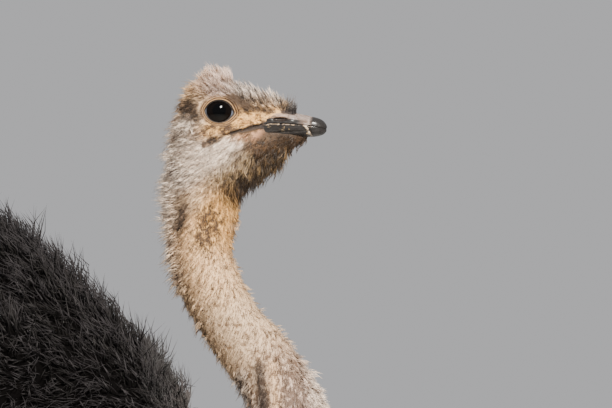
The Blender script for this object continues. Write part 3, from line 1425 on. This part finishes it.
# each kind of tuft: lengths and widths in mm, turns and curls as unevenness of direction
downKind = {
    "strands": 5,
    "spread": (1.4, 0.8),
    "loosest": 2.2,
    "tipPull": 0.42,
    "longStrand": 10.0,
    "longest": 30.0,
    "width": 0.30,
    "widthByLength": 0.032,
    "sink": 0.8,
    "tuftTurn": 0.16,
    "strandTurn": 0.11,
    "curl": 0.10,
    "riseTurn": 0.09,
    "wispShare": 0.09,
    "wispLength": 1.7,
    "wispRise": 0.28,
    "lump": 7,
    "lumpDepth": 0.35,
    "over": 0.40,
    "inward": 0.20,
    "fall": 0.08,
    "shades": (0.80, 1.20),
    "flat": 1.0,
    "clump": 6,
    "clumpReach": 3.0,
    "clumpPull": 0.75,
    "tuftCurl": 0.06,
}
woolKind = {
    **downKind,
    "strands": 9,
    "spread": (1.3, 1.1),
    "loosest": 7.0,
    "tipPull": 0.10,
    "longest": 140.0,
    "width": 0.75,
    "widthByLength": 0.014,
    "sink": 3,
    "tuftTurn": 0.22,
    "strandTurn": 0.15,
    "curl": 0.30,
    "tuftCurl": 0.25,
    "riseTurn": 0.08,
    "wispShare": 0.03,
    "wispLength": 1.1,
    "wispRise": 0.12,
    "lump": 30,
    "lumpDepth": 0.6,
    "over": 0.45,
    "inward": 0.35,
    "fall": 0.12,
    "clump": 3,
    "clumpReach": 10.0,
    "clumpPull": 0.5,
}
underKind = {
    **woolKind,
    "strands": 3,
    "spread": (2.2, 2.2),
    "longest": 46.0,
    "longStrand": 999.0,
    "width": 4.5,
    "widthByLength": 0.0,
    "sink": 4,
    "flat": 0.45,
}


def toClump(root, kind):  # from each root towards the middle of its clump
    leaders = root[:: kind["clump"]]
    tree = treeOf(leaders)
    away = leaders[[tree.find(place)[1] for place in root]] - root
    reach = np.linalg.norm(away, axis=1, keepdims=True) * 1000
    return away * kind["clumpPull"] / np.maximum(reach / kind["clumpReach"], 1)


# the crest's hair gathers to peaks: ahead and up of the eyes in mm
crestPeaks = {
    "places": [(9, 73), (-20, 71), (-40, 52)],
    "reach": 8.0,
    "pull": 0.72,
    "uneven": (0.35, 1.35),
    "sideways": 0.4,
    "topEdge": (34, 44),
}


def toPeaks(root, tip, random):  # from each tip towards the crest's peaks near its root
    ahead, _, high = headPlaces(root).T
    away = np.zeros_like(tip)
    onTop = smoothStep(high, *crestPeaks["topEdge"]) * crestPeaks["pull"]
    onTop *= random.uniform(*crestPeaks["uneven"], len(root))
    for place in crestPeaks["places"]:
        near = onTop * hump(ahead - place[0], crestPeaks["reach"])
        goal = np.array([place[0], 0, place[1]]) - headPlaces(tip) * [1, crestPeaks["sideways"], 1]
        away += goal / 1000 * near[:, None]
    return away


def laidAlong(points, lie):  # a lie of (ahead, up) as directions, turned with the neck
    angle = neckTurn(points)
    return np.stack([np.cos(angle) * lie[:, 0], np.sin(angle) * lie[:, 0], lie[:, 1]], 1)


def growCoat(title, chosen, count, seed, kind):
    random = np.random.default_rng(seed)
    bed = bedOf(title + "Bed", chosen)
    root, normal, flat = scatter(bed, count, lambda places: coatFields(places)["crowd"], random)
    bpy.data.objects.remove(bed)
    fields = coatFields(root)
    fromLid = np.minimum(lidDistance(root, "right")[0], lidDistance(root, "left")[0])
    keep = (fromLid > coatSizes["bareLid"]) & (fields["crowd"] > coatSizes["leastCrowd"]) & ~underBill(root)
    root, normal, flat, fromLid = root[keep], normal[keep], flat[keep], fromLid[keep]
    fields = {key: value[keep] for key, value in fields.items()}
    # each tuft's direction, length and colour
    count = len(root)
    lie = laidAlong(root, fields["lie"])
    turn = random.normal(0, kind["tuftTurn"], (count, 3))
    tangent = unit(unit(lie - (lie * normal).sum(1, keepdims=True) * normal) + turn)
    wisp = random.random(count) < kind["wispShare"]
    rise = fields["stand"] * kind["flat"] + random.normal(0, kind["riseTurn"], count)
    rise = rise + kind["wispRise"] * wisp
    rise = np.clip(rise, *coatSizes["rise"]) * math.pi / 2
    lump = 1 + kind["lumpDepth"] * (mottleOf(root, kind["lump"] / 1000) - 0.5)
    length = np.minimum(fields["length"], kind["longest"])
    length = length * random.uniform(*coatSizes["tuftLength"], count) * lump
    nearLid = 0.35 + 0.65 * smoothStep(fromLid, *coatSizes["nearLid"])
    length = length * np.where(wisp, kind["wispLength"], 1) * nearLid
    colour = tuftTints(root, fields, random)
    # each strand leaves its tuft a little to one side, rises, and then bends over
    strands = kind["strands"]
    tuft = np.repeat(np.arange(count), strands)
    total = len(tuft)
    across = unit(np.cross(normal, tangent))
    loose = np.clip(length / 10, 0.7, kind["loosest"])[tuft, None] * kind["spread"] / 1000
    offset = random.normal(0, 1, (total, 2)) * loose
    offset = tangent[tuft] * offset[:, :1] + across[tuft] * offset[:, 1:]
    own = length[tuft] * random.uniform(*coatSizes["strandLength"], total) / 1000
    turn = random.normal(0, kind["strandTurn"], (total, 3))
    curl = random.normal(0, kind["curl"], (total, 3)) + random.normal(0, kind["tuftCurl"], (count, 3))[tuft]
    gather = (toClump(root, kind) * smoothStep(length, *coatSizes["gatherLength"])[:, None])[tuft]
    first = unit(tangent[tuft] * np.cos(rise)[tuft, None] + normal[tuft] * np.sin(rise)[tuft, None] + turn)
    fall = np.array([0, 0, -kind["fall"]])
    second = unit(first + tangent[tuft] * kind["over"] - normal[tuft] * kind["inward"] + fall + curl)
    base = root[tuft] + offset - normal[tuft] * kind["sink"] / 1000
    half = base + first * (own * 0.5)[:, None] - offset * kind["tipPull"] + gather * 0.35
    tip = half + second * (own * 0.5)[:, None] - offset * kind["tipPull"] + gather * 0.65
    away = toPeaks(root[tuft], tip, random)
    half += away * 0.4
    tip += away
    random.normal(size=(total, 3))  # drawn and left, so that the draws below stay the same
    proud = random.uniform(0.2, 1, (total, 1)) * coatSizes["proud"]
    half, tip = (np.clip(stop, cadBounds[0] - proud, cadBounds[1] + proud) for stop in (half, tip))
    width = kind["width"] / 1000 + own * kind["widthByLength"]
    width = width * random.uniform(*coatSizes["strandWidth"], total)
    colour = colour[tuft] * random.uniform(*kind["shades"], (total, 1))
    place = (np.arange(total) % strands + 0.5) / strands
    # short strands are straight
    long = own * 1000 >= kind["longStrand"]
    sets = []
    for mine, stops in ((long, (base, half, tip)), (~long, (base, tip))):
        if mine.any():
            shape = tapered(np.stack(stops, 1)[mine], width[mine], normal[tuft][mine])
            sets.append((shape, colour[mine], flat[tuft][mine], place[mine]))
    return sets


def tuftTints(root, fields, random):  # a tuft is pale or dark, in patches, by the zone's share of dark
    count = len(root)
    short = smoothStep(fields["length"], 18, 9)
    patches = mottleOf(root, 0.0045) * (1 - 0.6 * short) + mottleOf(root, 0.0018) * 0.6 * short
    patchy = np.clip(fields["share"] * 2.0 * patches**1.3, 0, 1)
    isDark = random.random(count) < patchy
    deep = np.where(isDark, random.uniform(0.6, 1.0, count), random.uniform(0.0, 0.18, count))[:, None]
    return (fields["pale"] * (1 - deep) + fields["dark"] * deep) * random.uniform(0.82, 1.16, (count, 1))


def underBill(points):  # places that the bill covers
    ahead, _, high = headPlaces(points).T
    low, ridge = lineLevel(billEdge, ahead), lineLevel(billRidge, ahead)
    start = coatSizes["billStart"]
    edge = np.where(high > lineLevel(mouthLine, ahead), start["upper"], start["lower"])
    return (ahead > edge) & (high > low - 1) & (high < ridge + 0.5)


# each stretch of down: lowest and highest place above the eyes in mm, side (0 for both), tufts
downStretches = {
    "downHood": (12, 90, 0, 4300),
    "downCheek_right": (-72, 12, -1, 4900),
    "downCheek_left": (-72, 12, 1, 3700),
    "downThroat_right": (-150, -72, -1, 2700),
    "downThroat_left": (-150, -72, 1, 2300),
    "downNeckTop": (-250, -150, 0, 4100),
    "downNeckMiddle": (-365, -250, 0, 3300),
    "downNeckLow": (-470, -365, 0, 2350),
    "downNeckRoot": (-700, -470, 0, 1700),
}
# each stretch of feathers: lowest and highest x in metres, side, tufts
woolStretches = {
    "feathersFront_right": (0.16, 0.62, -1, 1150),
    "feathersFront_left": (0.16, 0.62, 1, 640),
    "feathersMiddle_right": (-0.16, 0.16, -1, 950),
    "feathersMiddle_left": (-0.16, 0.16, 1, 700),
    "feathersBack_right": (-0.80, -0.16, -1, 820),
    "feathersBack_left": (-0.80, -0.16, 1, 820),
}


def makeCoat():
    middles = faceMiddles(skin)
    places = headPlaces(middles)
    neck = onNeck(places, -34)
    for number, (title, (low, high, side, count)) in enumerate(downStretches.items()):
        chosen = neck & (places[:, 2] >= low) & (places[:, 2] < high)
        if side:
            chosen &= np.sign(places[:, 1]) == side
        coatPiece(title, growCoat(title, chosen, count, 11 + number, downKind), "down", downPaint)
    body = ~onNeck(places, 12) & (middles[:, 2] > trunkLow.z - 0.02)
    for number, (title, (low, high, side, count)) in enumerate(woolStretches.items()):
        chosen = body & (middles[:, 0] >= low) & (middles[:, 0] < high) & (np.sign(middles[:, 1]) == side)
        sets = growCoat(title, chosen, count, 41 + number, woolKind)
        sets += growCoat(title, chosen, int(count * 1.5), 51 + number, underKind)
        coatPiece(title, sets, "plumage", plumagePaint)


# lashes of the upper lids: start and end in radians round the eye, sizes in mm
lashSizes = {"count": 46, "start": 0.25, "end": 3.0, "length": 7.0, "width": 0.55, "above": 1.0}


def makeLashes(side):
    random = np.random.default_rng(31)
    count = lashSizes["count"]
    middle, axes = eyeFrame(side)
    angles = np.linspace(lashSizes["start"], lashSizes["end"], count) + random.normal(0, 0.02, count)
    edge = lidEdge(angles)
    reach = lashSizes["length"] * (0.55 + 0.45 * np.sin(angles)) * random.uniform(0.75, 1.15, count)
    ahead, high = np.cos(angles), np.sin(angles)
    base = np.stack([ahead * edge, high * edge, ballHeight(edge) + lashSizes["above"]], 1)
    outward = np.stack([ahead * 0.25, high * 0.10, np.ones(count)], 1)
    first = unit(outward + random.normal(0, 0.08, (count, 3)))
    second = unit(np.stack([ahead * 0.5, np.full(count, -0.45), np.full(count, 0.8)], 1))
    half = base + first * (reach * 0.5)[:, None]
    paths = np.stack([base, half, half + second * (reach * 0.5)[:, None]], 1)
    width = np.full(count, lashSizes["width"] / 1000)
    shape = tapered(middle + paths @ axes / 1000, width, np.tile(axes[1], (count, 1)))
    share = (np.arange(count) + 0.5) / count
    flat = 0.03 + 0.94 * np.stack([share, share], 1)
    colour = np.tile(tints["soot"], (count, 1)) * random.uniform(0.5, 1.2, (count, 1))
    coatPiece(f"lashes_{side}", [(shape, colour, flat, np.full(count, 0.5))], "down", lashPaint)


# plumes of the wings and tail, long, white and drooping: widths and reach in metres, tilt and lean in
# radians
plumeSizes = {
    "wingCount": 52,
    "tailCount": 60,
    "barbs": 112,
    "stops": 12,
    "shaftWidth": 0.0034,
    "barbWidth": 0.0019,
    "reach": 0.058,
    "fall": 0.35,
    "ends": (0.6, 1.0),
    "fill": 0.95,
    "tilt": 0.5,
    "lean": (0.55, 1.0),
}
# stations along a bunch, as shares of its box: along, high, half height, half width
wingBunch = [
    (0.97, 0.93, 0.05, 0.05),
    (0.72, 0.66, 0.30, 0.20),
    (0.40, 0.44, 0.36, 0.24),
    (0.14, 0.25, 0.26, 0.20),
    (0.02, 0.12, 0.12, 0.12),
]
tailBunch = [
    (0.98, 0.78, 0.15, 0.26),
    (0.66, 0.80, 0.20, 0.34),
    (0.36, 0.62, 0.22, 0.38),
    (0.15, 0.38, 0.18, 0.36),
    (0.05, 0.18, 0.10, 0.28),
    (0.03, 0.05, 0.04, 0.18),
]


def makePlumes(title, node, bunch, count, seed):
    random = np.random.default_rng(seed)
    low, high = (np.array(corner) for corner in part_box(node))
    rows = np.array(bunch)
    # shafts, spread over the bunch's section and smoothed along their length
    steps = np.linspace(0, 1, plumeSizes["stops"])
    ends = random.uniform(*plumeSizes["ends"], count)
    at = ends[:, None] * steps * (len(rows) - 1)
    ring = np.sqrt(random.random(count)) * plumeSizes["fill"]
    angle = random.random(count) * math.tau
    along, level, tall, wide = (np.interp(at, np.arange(len(rows)), column) for column in rows.T)
    place = np.stack([along, np.full(at.shape, 0.5), level], 2)
    place[:, :, 2] += tall * (ring * np.sin(angle))[:, None]
    place[:, :, 1] += wide * (ring * np.cos(angle))[:, None]
    paths = low + place * (high - low)
    for _ in range(3):
        paths[:, 1:-1] = (paths[:, :-2] + paths[:, 2:] + 2 * paths[:, 1:-1]) / 4
    facing = np.tile([0.0, 0.0, 1.0], (count, 1))
    tone = random.uniform(0.86, 1.08, (count, 1))
    yellowing = (tints["buff"] - tints["plumePale"]) * random.uniform(0, 0.35, (count, 1))
    colour = (tints["plumePale"] + yellowing) * tone
    flat = 0.03 + 0.94 * np.stack([(np.arange(count) + 0.5) / count, random.random(count)], 1)
    shafts = tapered(paths, np.full(count, plumeSizes["shaftWidth"]), facing)
    sets = [(shafts, colour * 0.92, flat, np.full(count, 0.5))]
    # barbs on alternate sides of each shaft, longest past its middle
    barbs, last = plumeSizes["barbs"], plumeSizes["stops"] - 1
    owner = np.repeat(np.arange(count), barbs)
    total = len(owner)
    start = np.tile(np.linspace(0.04, 0.99, barbs), count) + random.normal(0, 0.004, total)
    start = np.clip(start, 0, 0.995) * last
    before = start.astype(int)
    after = np.minimum(before + 1, last)
    share = (start - before)[:, None]
    base = paths[owner, before] * (1 - share) + paths[owner, after] * share
    way = unit(paths[owner, after] - paths[owner, np.maximum(after - 1, 0)])
    side = np.where(np.arange(total) % 2 == 0, 1, -1)[:, None]
    tilt = random.normal(0, plumeSizes["tilt"], count)[owner, None]
    sideways = unit(np.cross(way, facing[owner]) + 1e-7)
    sideways = unit(sideways * np.cos(tilt) + np.cross(sideways, way) * np.sin(tilt)) * side
    lean = random.uniform(*plumeSizes["lean"], (total, 1))
    first = unit(way * np.cos(lean) + sideways * np.sin(lean) + random.normal(0, 0.16, (total, 3)))
    fall = np.array([0, 0, -plumeSizes["fall"]])
    second = unit(first + way * 0.35 + fall + random.normal(0, 0.25, (total, 3)))
    tapering = np.sin(np.clip(start / last, 0.02, 1) ** 0.7 * math.pi * 0.92) ** 0.5
    own = (plumeSizes["reach"] * tapering * random.uniform(0.7, 1.15, total))[:, None]
    half = base + first * own * 0.55
    stops = np.stack([base, half, half + second * own * 0.5], 1)
    width = plumeSizes["barbWidth"] * random.uniform(0.7, 1.3, total)
    shape = tapered(stops, width, np.cross(first, sideways), 0.5)
    shade = colour[owner] * random.uniform(0.9, 1.08, (total, 1))
    sets.append((shape, shade, flat[owner], (np.arange(total) % barbs + 0.5) / barbs))
    coatPiece(title, sets, "plume", plumePaint, node)


print("down and feathers")
makeCoat()
for side in sides:
    makeLashes(side)
print("plumes")
for number, side in enumerate(sides):
    makePlumes(f"wingPlumes_{side}", f"wing_plumes_{side}", wingBunch, plumeSizes["wingCount"], 61 + number)
makePlumes("tailPlumes", "tail", tailBunch, plumeSizes["tailCount"], 71)
print("coat", sum(coatCount))

# the default scene's objects go, and a floor, lamps and a camera take their place
for thing in list(bpy.data.objects):
    if thing.name in ("Cube", "Light", "Camera"):
        bpy.data.objects.remove(thing)
bpy.ops.mesh.primitive_plane_add(size=24, location=(0, 0, 0))
floor = bpy.context.object
floor.name = "floor"
floorPaint, floorTree, floorShader = newPaint("floorPaint", Roughness=0.6)
floorMottle = placeGroup(
    floorTree,
    mottle,
    Pale=(0.63, 0.61, 0.58, 1),
    Dark=(0.57, 0.55, 0.52, 1),
    Share=0.3,
    Patch=1.5,
    Speckle=40.0,
)
floorTree.links.new(floorMottle.outputs["Colour"], floorShader.inputs["Base Color"])
floor.data.materials.append(floorPaint)

world = bpy.data.worlds.new("studio")
world.use_nodes = True
world.node_tree.nodes["Background"].inputs["Color"].default_value = (0.80, 0.80, 0.82, 1)
world.node_tree.nodes["Background"].inputs["Strength"].default_value = 0.6
bpy.context.scene.world = world

lamps = {
    "key": dict(place=(1.6, -2.6, 3.4), size=0.6, power=370, colour=(1, 0.95, 0.87)),
    "fill": dict(place=(-2.6, -2.4, 1.7), size=2.6, power=62, colour=(1, 0.95, 0.89)),
    "rim": dict(place=(0.4, 3.0, 3.0), size=2.0, power=120, colour=(1, 0.97, 0.93)),
}
for title, lamp in lamps.items():
    light = bpy.data.lights.new(title, "AREA")
    light.size = lamp["size"]
    light.energy = lamp["power"]
    light.color = lamp["colour"]
    lampObject = bpy.data.objects.new(title, light)
    bpy.context.scene.collection.objects.link(lampObject)
    lampObject.location = lamp["place"]
    lampObject.visible_glossy = title == "key"
    aim = Vector((0.35, 0, 1.1)) - lampObject.location
    lampObject.rotation_euler = aim.to_track_quat("-Z", "Y").to_euler()

# metres from the right eye, and the lens in mm
cameraSizes = {"distance": 5.0, "lens": 213.0, "ahead": 0.1205, "below": 0.1275}
target = boxMiddle("eye_right") + Vector((cameraSizes["ahead"], 0, -cameraSizes["below"]))
cameraData = bpy.data.cameras.new("camera")
cameraData.lens = cameraSizes["lens"]
cameraData.sensor_width = 36
camera = bpy.data.objects.new("camera", cameraData)
bpy.context.scene.collection.objects.link(camera)
camera.location = target - Vector((0, cameraSizes["distance"], 0))
camera.rotation_euler = (math.pi / 2, 0, 0)
bpy.context.scene.camera = camera
